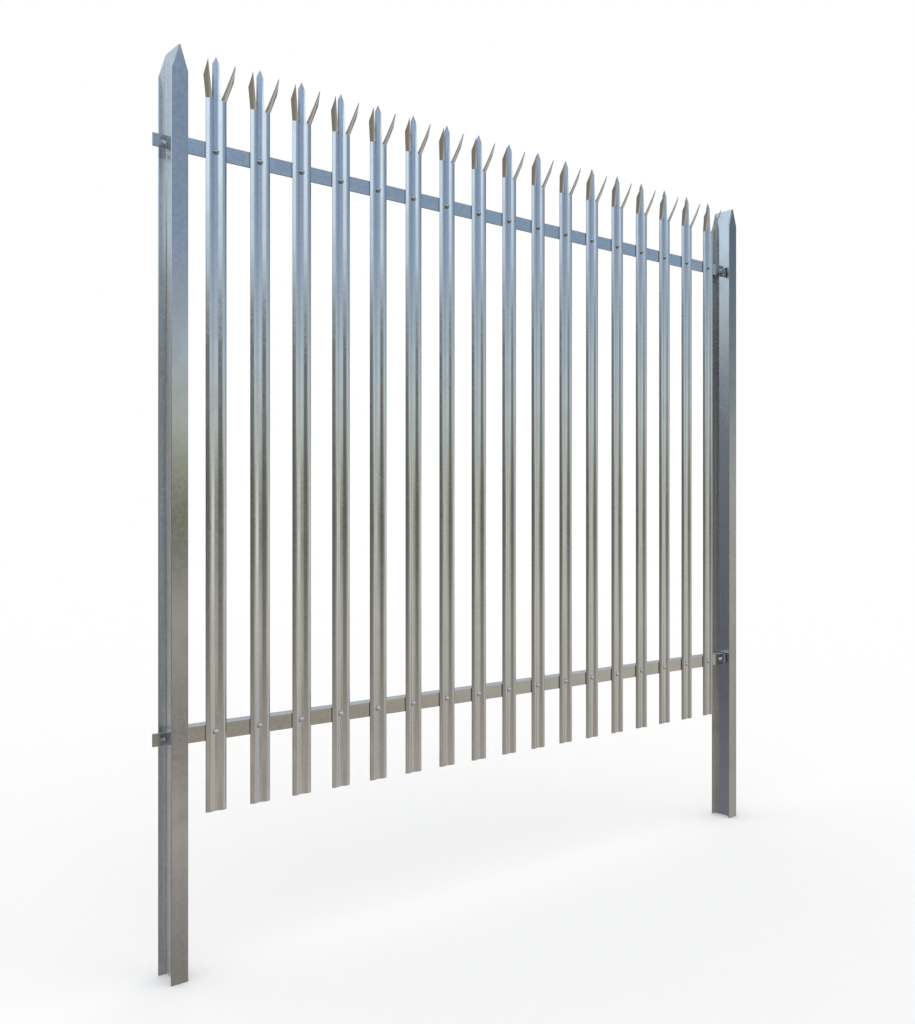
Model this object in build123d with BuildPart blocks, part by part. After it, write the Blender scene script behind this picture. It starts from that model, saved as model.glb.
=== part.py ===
from build123d import *
import os
from math import atan2, cos, degrees, radians, sin, sqrt, tan

# Palisade fence: one bay of galvanised steel security fencing between two posts, in millimetres.
# X runs along the fence from the middle of the bay, the attack side looks along -Y,
# and the posts stand on Z = 0. In use they are set in the ground up to about Z = 450.

# Bay
post_pitch = 2750
pale_count = 17
pale_pitch = 154.7

# Posts: a rolled I-section with its top cut to a point across both flanges
post_depth = 100
post_width = 55
post_web = 4.1
post_flange = 5.7
post_root = 2
post_height = 2855
post_point = 78

# Rails: equal angles, one leg upright at the front and one leg lying back from its top
rail_leg = 50
rail_thickness = 6
rail_root = 2
rail_front = -10
rail_end_gap = 15
rail_heights = {"top": 2567, "bottom": 742}

# Fishplates: flat bars passed through the post webs, slotted at both ends
plate_length = 133
plate_height = 40
plate_thickness = 6
plate_edge = 1
plate_drop = 2
plate_slot_length = 24
plate_slot_width = 13.5
plate_slot_reach = 34
web_slot_side_gap = 0.5
web_slot_top_gap = 1

# Pales: a W-section rolled from strip, given by the line of its back, which bears on the rails
pale_thickness = 3
pale_foot = 493.5
pale_tip = 2865
edge_half = 34.2
ridge_half = 22.8
valley_half = 7.7
ridge_rise = 7.7
ridge_radius = 11.8
valley_radius = 17.3
ridge_fold_steps = 4
valley_fold_steps = 2

# Pale head: the middle stays upright, the two outer folds are slit off and splayed out to the front
head_bend = 2730
centre_base_half = 14.2
centre_shoulder_half = 11.5
centre_point = 24
slit_half = 14.7
prong_turn = 32.6
splay_angle = 21.5
prong_length = 112
prong_tip_inset = 12.8
prong_base_width = 20.4
prong_outer_length = 66
prong_outer_flare = 4

# Pale fasteners: cup-head bolts with square necks in punched square holes, and cone nuts behind the rail
pale_hole = 9
pale_neck = 8.4
pale_thread = 8
cup_diameter = 19
cup_height = 5.5
cup_stand = 1.4
cup_steps = (0, 0.6, 0.95)
cup_sides = 8
cone_base = 16
cone_top = 12.5
cone_height = 8
cone_sides = 8
thread_sides = 6
pale_bolt_end = 2
thread_gap = 0.1

# Rail fasteners: hexagon bolts, washers and nuts
rail_hole = 13
rail_thread = 12
hexagon = 19
hexagon_head = 7.5
hexagon_nut = 10
hexagon_chamfer = 1
washer_outer = 24
washer_hole = 13.5
washer_thickness = 2.5
washer_sides = 12
rail_bolt_end = 3

# Worked out from the sizes above
post_x = post_pitch / 2
rail_length = post_pitch - 2 * rail_end_gap
rail_back = rail_front + rail_thickness
plate_back = rail_back + plate_thickness
rail_bolt_x = post_x - plate_slot_reach
pale_front = rail_front - pale_thickness
pale_places = [(i - (pale_count - 1) / 2) * pale_pitch for i in range(pale_count)]
slope_angle = degrees(atan2(ridge_rise, ridge_half - valley_half))
flank_angle = degrees(atan2(ridge_rise, edge_half - ridge_half))

os.makedirs("parts", exist_ok=True)

# Post: the two flanges and the web, the pointed top, and a slot through the web for each fishplate
channel_reach = (post_width - post_web) / 2
with BuildPart() as post:
    with BuildSketch() as i_section:
        Rectangle(post_width, post_depth)
        with GridLocations(post_web + channel_reach, 1, 2, 1):
            Rectangle(channel_reach, post_depth - 2 * post_flange, mode=Mode.SUBTRACT)
        root_corners = i_section.vertices().filter_by(lambda v: abs(v.X) < post_width / 4)
        fillet(root_corners, radius=post_root)
    extrude(amount=post_height)
    with BuildSketch(Plane.XZ) as point_cuts:
        with BuildLine():
            Polyline(
                (post_web / 2, post_height),
                (post_width / 2, post_height - post_point),
                (post_width / 2, post_height),
                close=True,
            )
        make_face()
        mirror(about=Plane.YZ)
    extrude(amount=post_depth, both=True, mode=Mode.SUBTRACT)
    for rail_z in rail_heights.values():
        slot_z = rail_z - plate_drop + web_slot_top_gap / 2
        with Locations((0, rail_back + plate_thickness / 2, slot_z)):
            Box(
                2 * post_web,
                plate_thickness + 2 * web_slot_side_gap,
                plate_height + web_slot_top_gap,
                mode=Mode.SUBTRACT,
            )

for side, x in (("left", -post_x), ("right", post_x)):
    with BuildPart() as placed_post:
        with Locations((x, 0, 0)):
            add(post.part)
    placed_post.part.label = f"post_{side}"
    export_step(placed_post.part, f"parts/post_{side}.step")

# Rail: the angle, with a row of pale holes and one bolt hole near each end
with BuildPart() as rail:
    with BuildSketch(Plane.YZ) as angle_section:
        half_leg = rail_leg / 2
        with BuildLine():
            Polyline(
                (rail_front, -half_leg),
                (rail_back, -half_leg),
                (rail_back, half_leg - rail_thickness),
                (rail_front + rail_leg, half_leg - rail_thickness),
                (rail_front + rail_leg, half_leg),
                (rail_front, half_leg),
                close=True,
            )
        make_face()
        root_corner = (rail_back, half_leg - rail_thickness)
        fillet(angle_section.vertices().sort_by_distance(root_corner)[0], radius=rail_root)
    extrude(amount=rail_length / 2, both=True)
    with BuildSketch(Plane.XZ.offset(-rail_front)) as rail_holes:
        with GridLocations(pale_pitch, 1, pale_count, 1):
            Rectangle(pale_hole, pale_hole)
        with Locations((-rail_bolt_x, -plate_drop), (rail_bolt_x, -plate_drop)):
            Rectangle(rail_hole, rail_hole)
    extrude(amount=-rail_thickness, mode=Mode.SUBTRACT)

for level, z in rail_heights.items():
    with BuildPart() as placed_rail:
        with Locations((0, 0, z)):
            add(rail.part)
    placed_rail.part.label = f"rail_{level}"
    export_step(placed_rail.part, f"parts/rail_{level}.step")

# Fishplate: it lies behind the rail's upright leg, and its outer slot waits for the next bay's rail
with BuildPart() as fishplate:
    with BuildSketch(Plane.XZ.offset(-plate_back)) as plate_outline:
        Rectangle(plate_length, plate_height)
        with GridLocations(2 * plate_slot_reach, 1, 2, 1):
            SlotOverall(plate_slot_length, plate_slot_width, mode=Mode.SUBTRACT)
    extrude(amount=plate_thickness)
    front_edges = fishplate.faces().sort_by(Axis.Y)[0].edges().filter_by(Axis.X)
    chamfer(front_edges.group_by(Axis.Z)[0] + front_edges.group_by(Axis.Z)[-1], length=plate_edge)

for side, x in (("left", -post_x), ("right", post_x)):
    for level, z in rail_heights.items():
        with BuildPart() as placed_plate:
            with Locations((x, 0, z - plate_drop)):
                add(fishplate.part)
        placed_plate.part.label = f"fishplate_{side}_{level}"
        export_step(placed_plate.part, f"parts/fishplate_{side}_{level}.step")


def rounded_fold(before, corner, after, radius, steps):
    """Points on the round of a fold, from where it leaves one flat to where it meets the next."""
    first_way = (before - corner).normalized()
    last_way = (after - corner).normalized()
    half_opening = radians(first_way.get_angle(last_way) / 2)
    middle = corner + (first_way + last_way).normalized() * (radius / sin(half_opening))
    start = corner + first_way * (radius / tan(half_opening)) - middle
    turn = 180 - 2 * degrees(half_opening)
    if first_way.cross(last_way).Z > 0:
        turn = -turn
    return [middle + start.rotate(Axis.Z, turn * i / steps) for i in range(steps + 1)]


def half_section(valley, ridge, edge, depth):
    """One face of the strip, from the middle of the pale to its edge, this depth in front of the back."""
    line = rounded_fold(Vector(0, valley.Y), valley, ridge, valley_radius - depth, valley_fold_steps)
    line += rounded_fold(valley, ridge, edge, ridge_radius + depth, ridge_fold_steps)
    return line + [edge]


# W-section of a pale: the corners of its back and its front, with each fold rounded by a few short flats
slope_normal = Vector(-sin(radians(slope_angle)), -cos(radians(slope_angle)))
flank_normal = Vector(sin(radians(flank_angle)), -cos(radians(flank_angle)))
valley_shift = Vector(-tan(radians(slope_angle / 2)), -1)
ridge_shift = (slope_normal + flank_normal) * (1 / (1 + slope_normal.dot(flank_normal)))
back_corners = [
    Vector(valley_half, rail_front),
    Vector(ridge_half, rail_front - ridge_rise),
    Vector(edge_half, rail_front),
]
shifts = [valley_shift, ridge_shift, flank_normal]
front_corners = [corner + shift * pale_thickness for corner, shift in zip(back_corners, shifts)]
back_line = half_section(*back_corners, 0)
front_line = half_section(*front_corners, pale_thickness)
right_half = back_line + front_line[::-1]
with BuildSketch() as w_section:
    with BuildLine():
        Polyline((0, rail_front), *right_half, (0, pale_front), close=True)
    make_face()
    mirror(about=Plane.YZ)

# Side prong of the right flank: the section outside the slit, bent out to the front and the side
# and cut slanting to its tip
flank_edge = front_corners[-1] + Vector(0, 0, head_bend)
prong_out = Vector(sin(radians(prong_turn)), -cos(radians(prong_turn)), 0)
prong_inward = Vector(-cos(radians(prong_turn)), -sin(radians(prong_turn)), 0)
prong_rise = prong_out * sin(radians(splay_angle)) + Vector(0, 0, cos(radians(splay_angle)))
prong_face = Plane(origin=flank_edge, x_dir=prong_inward, z_dir=prong_inward.cross(prong_rise))
with BuildPart() as side_prong:
    with BuildSketch(Plane.XY.offset(head_bend)) as prong_section:
        add(w_section.sketch)
        with Locations((slit_half + edge_half, rail_front)):
            Rectangle(2 * edge_half, 2 * edge_half, mode=Mode.INTERSECT)
    extrude(amount=prong_length, dir=prong_rise)
    with BuildSketch(prong_face) as prong_outline:
        with BuildLine():
            Polyline(
                (0, -prong_base_width),
                (0, 0),
                (-prong_outer_flare, prong_outer_length),
                (prong_tip_inset, prong_length),
                (prong_base_width, 0),
                (prong_base_width, -prong_base_width),
                close=True,
            )
        make_face()
    extrude(amount=prong_base_width, both=True, mode=Mode.INTERSECT)

# Pale: the W-section up to the bend, the pointed middle above it, and a splayed prong at each side
with BuildPart() as pale:
    with BuildSketch(Plane.XY.offset(pale_foot)):
        add(w_section.sketch)
    extrude(amount=pale_tip - pale_foot)
    with BuildSketch(Plane.XZ) as head_cuts:
        with BuildLine():
            Polyline(
                (2 * edge_half, head_bend),
                (centre_base_half, head_bend),
                (centre_shoulder_half, pale_tip - centre_point),
                (0, pale_tip),
                (2 * edge_half, pale_tip),
                close=True,
            )
        make_face()
        mirror(about=Plane.YZ)
    extrude(amount=post_depth, both=True, mode=Mode.SUBTRACT)
    add(side_prong.part)
    mirror(side_prong.part, about=Plane.YZ)
    with BuildSketch(Plane.XZ.offset(-rail_front)) as pale_holes:
        with Locations(*[(0, z) for z in rail_heights.values()]):
            Rectangle(pale_hole, pale_hole)
    extrude(amount=2 * pale_thickness, mode=Mode.SUBTRACT)

for number, x in enumerate(pale_places, start=1):
    with BuildPart() as placed_pale:
        with Locations((x, 0, 0)):
            add(pale.part)
    placed_pale.part.label = f"pale_{number:02d}"
    export_step(placed_pale.part, f"parts/pale_{number:02d}.step")

# Pale bolt: a cup head across the valley of the pale, a square neck through pale and rail, and the thread
cup_radius = (cup_diameter**2 / 4 + cup_height**2) / (2 * cup_height)
cup_seat = pale_front - cup_stand
cone_end = rail_back + cone_height
with BuildPart() as pale_bolt:
    for step in cup_steps:
        rise = step * cup_height
        with BuildSketch(Plane.XZ.offset(rise - cup_seat)):
            RegularPolygon(sqrt(cup_radius**2 - (cup_radius - cup_height + rise) ** 2), cup_sides)
    loft(ruled=True)
    with BuildSketch(Plane.XZ.offset(-cup_seat)):
        Rectangle(pale_neck, pale_neck)
    extrude(amount=cup_seat - rail_back)
    with BuildSketch(Plane.XZ.offset(-rail_back)):
        RegularPolygon(pale_thread / 2, thread_sides)
    extrude(amount=-(cone_height + pale_bolt_end))

# Cone nut: a tapered nut that a spanner can't grip
with BuildPart() as cone_nut:
    for y, diameter in ((rail_back, cone_base), (cone_end, cone_top)):
        with BuildSketch(Plane.XZ.offset(-y)):
            RegularPolygon(diameter / 2, cone_sides)
            RegularPolygon(pale_thread / 2 + thread_gap, thread_sides, mode=Mode.SUBTRACT)
    loft(ruled=True)

for level, z in rail_heights.items():
    fixings = [(x, 0, z) for x in pale_places]
    with BuildPart() as pale_bolts:
        with Locations(*fixings):
            add(pale_bolt.part)
    pale_bolts.part.label = f"pale_bolts_{level}"
    export_step(pale_bolts.part, f"parts/pale_bolts_{level}.step")
    with BuildPart() as cone_nuts:
        with Locations(*fixings):
            add(cone_nut.part)
    cone_nuts.part.label = f"cone_nuts_{level}"
    export_step(cone_nuts.part, f"parts/cone_nuts_{level}.step")

# Rail bolt: a hexagon head on the rail, and a shank through the rail and the fishplate's slot
nut_seat = plate_back + washer_thickness
nut_end = nut_seat + hexagon_nut
with BuildPart() as rail_bolt:
    with BuildSketch(Plane.XZ.offset(-rail_front)):
        RegularPolygon(hexagon / 2, 6, major_radius=False)
    extrude(amount=hexagon_head)
    chamfer(rail_bolt.faces().sort_by(Axis.Y)[0].edges(), length=hexagon_chamfer)
    with BuildSketch(Plane.XZ.offset(-rail_front)):
        RegularPolygon(rail_thread / 2, thread_sides)
    extrude(amount=rail_front - nut_end - rail_bolt_end)

with BuildPart() as rail_washer:
    with BuildSketch(Plane.XZ.offset(-plate_back)):
        RegularPolygon(washer_outer / 2, washer_sides)
        RegularPolygon(washer_hole / 2, washer_sides, mode=Mode.SUBTRACT)
    extrude(amount=-washer_thickness)

with BuildPart() as rail_nut:
    with BuildSketch(Plane.XZ.offset(-nut_seat)):
        RegularPolygon(hexagon / 2, 6, major_radius=False)
    extrude(amount=-hexagon_nut)
    chamfer(rail_nut.faces().sort_by(Axis.Y)[-1].edges(), length=hexagon_chamfer)
    with BuildSketch(Plane.XZ.offset(-nut_seat)):
        RegularPolygon(rail_thread / 2 + thread_gap, thread_sides)
    extrude(amount=-hexagon_nut, mode=Mode.SUBTRACT)

rail_joints = [
    (x, 0, z - plate_drop) for z in rail_heights.values() for x in (-rail_bolt_x, rail_bolt_x)
]
with BuildPart() as rail_bolts:
    with Locations(*rail_joints):
        add(rail_bolt.part)
rail_bolts.part.label = "rail_bolts"
export_step(rail_bolts.part, "parts/rail_bolts.step")

with BuildPart() as rail_washers:
    with Locations(*rail_joints):
        add(rail_washer.part)
rail_washers.part.label = "rail_washers"
export_step(rail_washers.part, "parts/rail_washers.step")

with BuildPart() as rail_nuts:
    with Locations(*rail_joints):
        add(rail_nut.part)
rail_nuts.part.label = "rail_nuts"
export_step(rail_nuts.part, "parts/rail_nuts.step")
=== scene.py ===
# %% [markdown]
# # A bay of palisade fencing
# A palisade fence is bolted up from rolled and folded steel: two I-section posts, two angle rails, and a row of
# tall pales whose heads are split into three points. Every piece is dipped in molten zinc, so the whole fence is
# one bright grey metal, and what tells its faces apart is what each one mirrors.
# The lesson loads the measured frame, sets the camera, builds the surroundings that the zinc mirrors, and then
# makes the pieces in the order in which the fence is put together, each with its own finish.

# %% Load the frame
from math import atan2, cos, degrees, pi, radians, sin, sqrt, tan

import bmesh
import bpy
from mathutils import Matrix, Vector


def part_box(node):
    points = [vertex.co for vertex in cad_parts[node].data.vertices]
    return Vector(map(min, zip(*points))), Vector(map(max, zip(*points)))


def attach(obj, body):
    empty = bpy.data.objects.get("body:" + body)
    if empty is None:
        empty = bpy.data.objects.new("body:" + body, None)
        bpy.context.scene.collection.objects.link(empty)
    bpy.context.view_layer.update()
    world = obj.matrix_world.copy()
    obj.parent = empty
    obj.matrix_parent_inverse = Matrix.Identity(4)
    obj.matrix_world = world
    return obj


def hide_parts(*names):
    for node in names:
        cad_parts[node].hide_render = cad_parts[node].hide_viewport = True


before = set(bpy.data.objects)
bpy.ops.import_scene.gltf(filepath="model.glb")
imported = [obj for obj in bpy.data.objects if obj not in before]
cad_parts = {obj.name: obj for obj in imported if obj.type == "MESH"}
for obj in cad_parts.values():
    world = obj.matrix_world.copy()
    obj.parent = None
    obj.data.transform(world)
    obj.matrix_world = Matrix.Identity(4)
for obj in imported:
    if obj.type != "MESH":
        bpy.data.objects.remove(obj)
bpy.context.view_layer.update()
scene = bpy.context.scene
scene.view_settings.view_transform = "Standard"
mm = 0.001
pale_nodes = sorted(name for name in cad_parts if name.startswith("pale_") and name[-1].isdigit())

# %% [markdown]
# ## Camera
# The picture was taken from the left, level with the middle of the fence. A level camera keeps the posts upright
# in the picture, so its height and its turn come from where the feet and the points of the posts fall. The focal
# length is written in pixels of a picture 1024 high, because that is how it was measured, and then turned into
# the millimetres that Blender wants.

# %% Camera
camera_place = Vector((-2.7159, -3.0399, 1.4332))
camera_turn = radians(39.054)
focal_pixels = 1043.15
picture_height = 1024
camera_data = bpy.data.cameras.new("camera")
camera_data.sensor_width = 36
camera_data.lens = focal_pixels * camera_data.sensor_width / picture_height
camera = bpy.data.objects.new("camera", camera_data)
camera.location = camera_place
camera.rotation_euler = (pi / 2, 0, -camera_turn)
scene.collection.objects.link(camera)
scene.camera = camera
print("camera: lens", round(camera_data.lens, 2), "mm")

# %% [markdown]
# ## Small helpers for node trees
# The finishes, the surroundings and the rows of pales are all node trees, and a tree is a list of nodes and links.
# They could be drawn by hand in the node editor. Written as code they can be read and changed in one place, so a
# few helpers add a node, fill its sockets and do sums, and the trees below read as recipes.


# %% Node helpers
def fill(tree, socket, value):
    """Links a socket to another one, or writes a plain value into it."""
    if isinstance(value, bpy.types.NodeSocket):
        tree.links.new(value, socket)
    else:
        socket.default_value = value


def add_node(tree, kind, settings=None, **inputs):
    """A node with its settings made and its inputs filled, by name or, as i0 or i1, by place."""
    node = tree.nodes.new(kind)
    for key, value in (settings or {}).items():
        setattr(node, key, value)
    for key, value in inputs.items():
        by_place = key[0] == "i" and key[1:].isdigit()
        fill(tree, node.inputs[int(key[1:]) if by_place else key], value)
    return node


def calc(tree, operation, *values, clamp=False):
    """The output of a Math node with these values."""
    node = add_node(tree, "ShaderNodeMath", {"operation": operation, "use_clamp": clamp})
    for socket, value in zip(node.inputs, values):
        fill(tree, socket, value)
    return node.outputs[0]


def ease(tree, value, low, high):
    """A smooth rise from 0 at low to 1 at high."""
    settings = {"interpolation_type": "SMOOTHSTEP"}
    node = add_node(tree, "ShaderNodeMapRange", settings, i0=value, i1=low, i2=high, i3=0.0, i4=1.0)
    return node.outputs[0]


def colour_mix(tree, share, first, second):
    """The output of a colour Mix node."""
    node = add_node(tree, "ShaderNodeMix", {"data_type": "RGBA"}, i0=share, i6=first, i7=second)
    return node.outputs[2]


print("helpers:", [helper.__name__ for helper in (fill, add_node, calc, ease, colour_mix)])

# %% [markdown]
# ## Surroundings
# Bright zinc has no colour of its own: it shows what is around it. In the picture the faces that look left mirror
# a cool bright sky above a dark skyline, the faces that look at the viewer mirror a duller sky and warm ground,
# and the faces that look right mirror a pale open place. A few lamps could light the fence, but they would leave
# its mirror images empty. So the world is a soft studio surround: a ring of views, each a ramp of colours by
# height, and each fading into the next as the direction turns.
# The colours were chosen. Each view lists them by elevation in degrees, from the ground up.

# %% Views behind the fence and to the right
behind_view = {
    -30: (0.32, 0.32, 0.31), -16: (0.26, 0.26, 0.25), -11: (0.42, 0.41, 0.4), -3: (0.5, 0.5, 0.48),
    3: (0.48, 0.49, 0.48), 9: (0.48, 0.53, 0.57), 16: (0.46, 0.54, 0.62), 30: (0.5, 0.6, 0.7),
    60: (0.25, 0.28, 0.3),
}
far_right_view = {
    -30: (0.4, 0.38, 0.36), -16: (0.48, 0.46, 0.45), -13: (0.45, 0.44, 0.42), -5: (0.56, 0.56, 0.53),
    0: (0.62, 0.62, 0.58), 5: (0.4, 0.43, 0.43), 9: (0.34, 0.38, 0.41), 17: (0.21, 0.26, 0.3),
}
right_view = {
    -30: (0.38, 0.36, 0.33), -16: (0.48, 0.46, 0.43), -12: (0.45, 0.44, 0.41), -7: (0.54, 0.53, 0.49),
    -1: (0.79, 0.79, 0.73), 3: (0.54, 0.55, 0.52), 8: (0.43, 0.5, 0.57), 12: (0.32, 0.41, 0.5),
    18: (0.22, 0.31, 0.44),
}
print("views behind and to the right:", [len(view) for view in (behind_view, far_right_view, right_view)], "colours")

# %% Views in front of the fence and to the left
front_right_view = {
    -60: (0.36, 0.34, 0.32), -45: (0.15, 0.15, 0.14), -32: (0.15, 0.15, 0.14), -26: (0.36, 0.33, 0.3),
    -16: (0.58, 0.55, 0.5), -12: (0.53, 0.51, 0.46), -5: (0.54, 0.54, 0.49), 1: (0.54, 0.55, 0.51),
    6: (0.53, 0.6, 0.63), 9: (0.46, 0.55, 0.62), 13: (0.3, 0.4, 0.52), 22: (0.29, 0.38, 0.54),
    32: (1.1, 1.15, 1.2), 45: (1.0, 1.05, 1.1), 60: (0.4, 0.44, 0.48),
}
front_view = {
    -60: (0.36, 0.34, 0.32), -45: (0.13, 0.135, 0.13), -32: (0.13, 0.135, 0.13), -26: (0.28, 0.255, 0.225),
    -20: (0.36, 0.33, 0.3), -16: (0.54, 0.5, 0.455), -12: (0.28, 0.255, 0.215), -6: (0.51, 0.48, 0.42),
    -1: (0.205, 0.205, 0.16), 2: (0.34, 0.35, 0.25), 5: (0.6, 0.63, 0.55), 9: (0.53, 0.62, 0.69),
    14: (0.315, 0.41, 0.54), 23: (0.265, 0.355, 0.51), 32: (1.3, 1.35, 1.4), 45: (1.2, 1.25, 1.3),
    60: (0.4, 0.44, 0.48),
}
left_view = {
    -60: (0.36, 0.34, 0.32), -45: (0.13, 0.13, 0.125), -32: (0.13, 0.13, 0.125), -26: (0.25, 0.22, 0.185),
    -20: (0.29, 0.26, 0.215), -13: (0.44, 0.4, 0.35), -8: (0.21, 0.2, 0.175), -4: (0.17, 0.165, 0.145),
    1: (0.12, 0.12, 0.11), 6: (0.155, 0.17, 0.17), 10.5: (0.175, 0.195, 0.195), 13.5: (0.66, 0.76, 0.84),
    20: (0.82, 0.97, 1.1), 32: (1.1, 1.2, 1.3), 60: (0.4, 0.44, 0.48),
}
far_left_view = {
    -30: (0.2, 0.2, 0.22), -14: (0.22, 0.22, 0.24), -9: (0.14, 0.15, 0.17), -4: (0.17, 0.18, 0.2),
    1: (0.19, 0.21, 0.23), 6: (0.22, 0.25, 0.29), 10: (0.54, 0.62, 0.66), 14: (0.83, 1.0, 1.15),
    32: (0.7, 0.9, 1.15),
}
front_views = (front_right_view, front_view, left_view, far_left_view)
print("views in front and to the left:", [len(view) for view in front_views], "colours")

# %% [markdown]
# The views are set round the fence by the direction of a ray, counted in degrees from straight behind the fence
# round to the right. Two neighbours with the same view keep it still between them, and two different ones fade.

# %% Ring of views
ramp_reach = sin(radians(60))
views = [
    (0, behind_view), (46, behind_view), (66, far_right_view), (80, far_right_view), (100, right_view),
    (110, right_view), (130, front_right_view), (154, front_view), (200, left_view), (250, left_view),
    (295, far_left_view), (318, far_left_view), (345, behind_view), (360, behind_view),
]


def height_ramp(tree, place, stops):
    """A colour ramp over the height of a direction, from stops given by elevation in degrees."""
    ramp = add_node(tree, "ShaderNodeValToRGB", Fac=place)
    elements = ramp.color_ramp.elements
    while len(elements) < len(stops):
        elements.new(0.5)
    for element, (elevation, colour) in zip(elements, sorted(stops.items())):
        element.position = (sin(radians(elevation)) / ramp_reach + 1) / 2
        element.color = (*colour, 1)
    return ramp.outputs["Color"]


def ring_of_views(tree, turn, up):
    """The colour of the surround in a direction, from its turn in degrees and its rise."""
    place = add_node(tree, "ShaderNodeMapRange", i0=up, i1=-ramp_reach, i2=ramp_reach).outputs[0]
    colour = height_ramp(tree, place, views[0][1])
    for (start, before), (end, view) in zip(views, views[1:]):
        if view is not before:
            colour = colour_mix(tree, ease(tree, turn, start, end), colour, height_ramp(tree, place, view))
    return colour


print("ring:", len(views), "directions")

# %% [markdown]
# The picture's background is plain white, so the camera sees white, and so does the soft light that falls on the
# floor. Mirror images see the ring of views. Low down behind the fence they see white as well, because a face
# that looks that way mirrors the background.

# %% World
white = (1, 1, 1, 1)
backdrop_start = (5, 30)
backdrop_end = (75, 50)
backdrop_height = (sin(radians(5)), sin(radians(1)))
world = bpy.data.worlds.new("studio surround")
scene.world = world
world.use_nodes = True
world.cycles.sampling_method = "NONE"
world_tree = world.node_tree
world_tree.nodes.clear()
direction = add_node(world_tree, "ShaderNodeTexCoord").outputs["Generated"]
along, across, up = add_node(world_tree, "ShaderNodeSeparateXYZ", i0=direction).outputs
turn = calc(world_tree, "MULTIPLY", calc(world_tree, "ARCTAN2", along, across), degrees(1))
turn = calc(world_tree, "FLOORED_MODULO", turn, 360.0)
surround = ring_of_views(world_tree, turn, up)
started = ease(world_tree, turn, *backdrop_start)
backdrop = calc(world_tree, "MULTIPLY", started, ease(world_tree, turn, *backdrop_end))
low_down = ease(world_tree, calc(world_tree, "ABSOLUTE", up), *backdrop_height)
surround = colour_mix(world_tree, calc(world_tree, "MULTIPLY", backdrop, low_down), surround, white)
rays = add_node(world_tree, "ShaderNodeLightPath").outputs
mirrored = calc(world_tree, "ADD", rays["Is Glossy Ray"], rays["Is Transmission Ray"], clamp=True)
seen = colour_mix(world_tree, mirrored, white, surround)
background = add_node(world_tree, "ShaderNodeBackground", Color=seen)
add_node(world_tree, "ShaderNodeOutputWorld", Surface=background.outputs[0])
print("world:", len(world_tree.nodes), "nodes")

# %% [markdown]
# ## Floor
# The floor is a wide white sheet under the posts. A curved backdrop would do as well, but a flat sheet is enough
# under a white world. It takes the soft shadow of the fence, and it is kept out of the mirror images, where the
# warm ground of the surround stands for it.

# %% Floor
floor_half = 30
floor_mesh = bpy.data.meshes.new("floor")
floor_corners = [(x * floor_half, y * floor_half, 0) for x, y in ((-1, -1), (1, -1), (1, 1), (-1, 1))]
floor_mesh.from_pydata(floor_corners, [], [(0, 1, 2, 3)])
floor = bpy.data.objects.new("floor", floor_mesh)
scene.collection.objects.link(floor)
floor.visible_glossy = False
floor_paint = bpy.data.materials.new("white floor")
floor_paint.use_nodes = True
floor_shader = floor_paint.node_tree.nodes["Principled BSDF"]
floor_shader.inputs["Base Color"].default_value = white
floor_shader.inputs["Roughness"].default_value = 0.9
floor_shader.inputs["Specular IOR Level"].default_value = 0
floor_mesh.materials.append(floor_paint)
print("floor:", 2 * floor_half, "m square")

# %% [markdown]
# ## Zinc
# Hot-dip zinc looks plain from afar and is full of small things close up: a spangle of crystals a few
# millimetres across, clouds where the coat is thicker and duller, faint runs from the draining bath, and a fine
# grain. A painted picture could show them, but it would blur up close and need unwrapping. So each of them is one
# texture on Object coordinates, which moves the colour and the roughness by a few percent, and the grain also
# gives a slight bump.
# A coat says how large these things are on one kind of piece: its spangle, its grain, the way of its runs and how
# much the clouds darken it.

# %% Zinc pattern
cloud_scale = 7.0
cloud_edges = (0.42, 0.68)
crystal_contrast = 0.07
run_contrast = 0.1


def zinc_pattern(tree, place, coat):
    """The crystals and the dull clouds of a coat, and the shade that these and the runs give it."""
    crystals = add_node(tree, "ShaderNodeTexVoronoi", {"feature": "F1"}, Vector=place, Scale=1 / coat["spangle"])
    crystal = add_node(tree, "ShaderNodeSeparateColor", Color=crystals.outputs["Color"]).outputs[0]
    clouds = add_node(tree, "ShaderNodeTexNoise", Vector=place, Scale=cloud_scale, Detail=3.0, Roughness=0.55)
    dull = ease(tree, clouds.outputs[0], *cloud_edges)
    run_place = add_node(tree, "ShaderNodeMapping", Vector=place, Scale=coat["runs"]).outputs[0]
    runs = add_node(tree, "ShaderNodeTexNoise", Vector=run_place, Scale=1.0, Detail=2.0)
    crystal_shade = calc(tree, "MULTIPLY_ADD", crystal, crystal_contrast, 1 - crystal_contrast)
    run_shade = calc(tree, "MULTIPLY_ADD", runs.outputs[0], run_contrast, 1 - run_contrast / 2)
    cloud_shade = calc(tree, "MULTIPLY_ADD", dull, -coat["clouding"], 1.0)
    shade = calc(tree, "MULTIPLY", calc(tree, "MULTIPLY", crystal_shade, run_shade), cloud_shade)
    return crystal, dull, shade


def faded(tree, place, shade, start, end, gain):
    """A shade that gains or loses a share of itself between two heights."""
    height = add_node(tree, "ShaderNodeSeparateXYZ", i0=place).outputs["Z"]
    change = calc(tree, "MULTIPLY_ADD", ease(tree, height, start, end), gain, 1.0)
    return calc(tree, "MULTIPLY", shade, change)


print("zinc shades: crystals", crystal_contrast, "runs", run_contrast)

# %% [markdown]
# One recipe makes every finish of the fence from a tint, a roughness and a coat. A metal value below 1 turns part of
# the mirror into plain grey, as on weathered zinc, and a fade makes a piece lighter or darker between two heights,
# as a painted light or shade.

# %% Zinc recipe
grain_scale = 650.0
grain_depth = 0.4 * mm
cloud_dulling = 0.07
crystal_dulling = 0.05
mean_dulling = 0.03


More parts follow.
